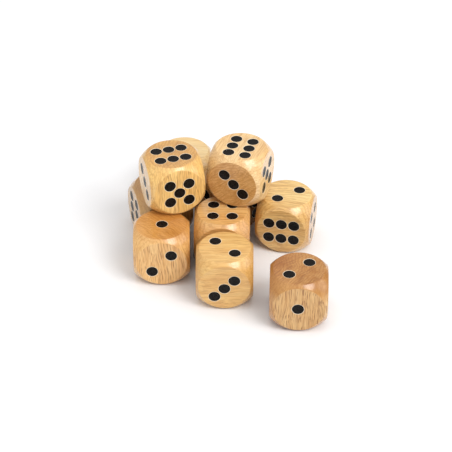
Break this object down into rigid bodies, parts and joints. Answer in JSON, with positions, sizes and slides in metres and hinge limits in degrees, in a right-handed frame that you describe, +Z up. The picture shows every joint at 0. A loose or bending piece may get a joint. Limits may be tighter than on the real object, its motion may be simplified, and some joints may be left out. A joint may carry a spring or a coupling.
{
  "type": "set of giant yard dice",
  "caption": "Heap of large solid wooden playing dice with ball-rounded corners and recessed painted pips, thrown on grass in lawn dice games.",
  "frame": {"origin": "on the ground, under the middle of the heap's box", "axes": "+Z up, +Y from the front of the heap to its back, +X to the right seen from the front"},
  "size_m": [0.321, 0.4187, 0.1783],
  "materials": {
    "die_front_right_wood": "clear lacquered hardwood with open grain",
    "die_front_centre_wood": "clear lacquered hardwood with open grain",
    "die_front_left_wood": "clear lacquered hardwood with open grain",
    "die_back_right_wood": "clear lacquered hardwood with open grain",
    "die_back_centre_wood": "clear lacquered hardwood with open grain",
    "die_back_left_wood": "clear lacquered hardwood with open grain",
    "die_rear_wood": "clear lacquered hardwood with open grain",
    "die_rear_centre_wood": "clear lacquered hardwood with open grain",
    "die_top_left_wood": "clear lacquered hardwood with open grain",
    "die_top_right_wood": "clear lacquered hardwood with open grain",
    "pip_paint": "black gloss paint in the pip recesses"
  },
  "bodies": {
    "front_right": {"die_front_right": "die_front_right_wood"},
    "front_centre": {"die_front_centre": "die_front_centre_wood"},
    "front_left": {"die_front_left": "die_front_left_wood"},
    "back_right": {"die_back_right": "die_back_right_wood"},
    "back_centre": {"die_back_centre": "die_back_centre_wood"},
    "back_left": {"die_back_left": "die_back_left_wood"},
    "rear": {"die_rear": "die_rear_wood"},
    "rear_centre": {"die_rear_centre": "die_rear_centre_wood"},
    "top_left": {"die_top_left": "die_top_left_wood"},
    "top_right": {"die_top_right": "die_top_right_wood"}
  },
  "joints": [
    {"name": "top_left_lift", "type": "slide", "parent": "back_centre", "child": "top_left", "axis": [0, 0, 1], "range_m": [0, 0.12]},
    {"name": "top_right_lift", "type": "slide", "parent": "back_centre", "child": "top_right", "axis": [0, 0, 1], "range_m": [0, 0.12]},
    {"name": "front_right_lift", "type": "slide", "parent": "back_centre", "child": "front_right", "axis": [0, 0, 1], "range_m": [0, 0.12]},
    {"name": "front_centre_lift", "type": "slide", "parent": "back_centre", "child": "front_centre", "axis": [0, 0, 1], "range_m": [0, 0.12]},
    {"name": "rear_lift", "type": "slide", "parent": "back_centre", "child": "rear", "axis": [0, 0, 1], "range_m": [0, 0.12]},
    {"name": "front_left_pull", "type": "slide", "parent": "back_centre", "child": "front_left", "axis": [-1, 0, 0], "range_m": [0, 0.12]},
    {"name": "back_left_pull", "type": "slide", "parent": "back_centre", "child": "back_left", "axis": [-1, 0, 0], "range_m": [0, 0.12]},
    {"name": "back_right_pull", "type": "slide", "parent": "back_centre", "child": "back_right", "axis": [1, 0, 0], "range_m": [0, 0.12]},
    {"name": "rear_centre_pull", "type": "slide", "parent": "back_centre", "child": "rear_centre", "axis": [0.7071, 0.7071, 0], "range_m": [0, 0.12]}
  ]
}
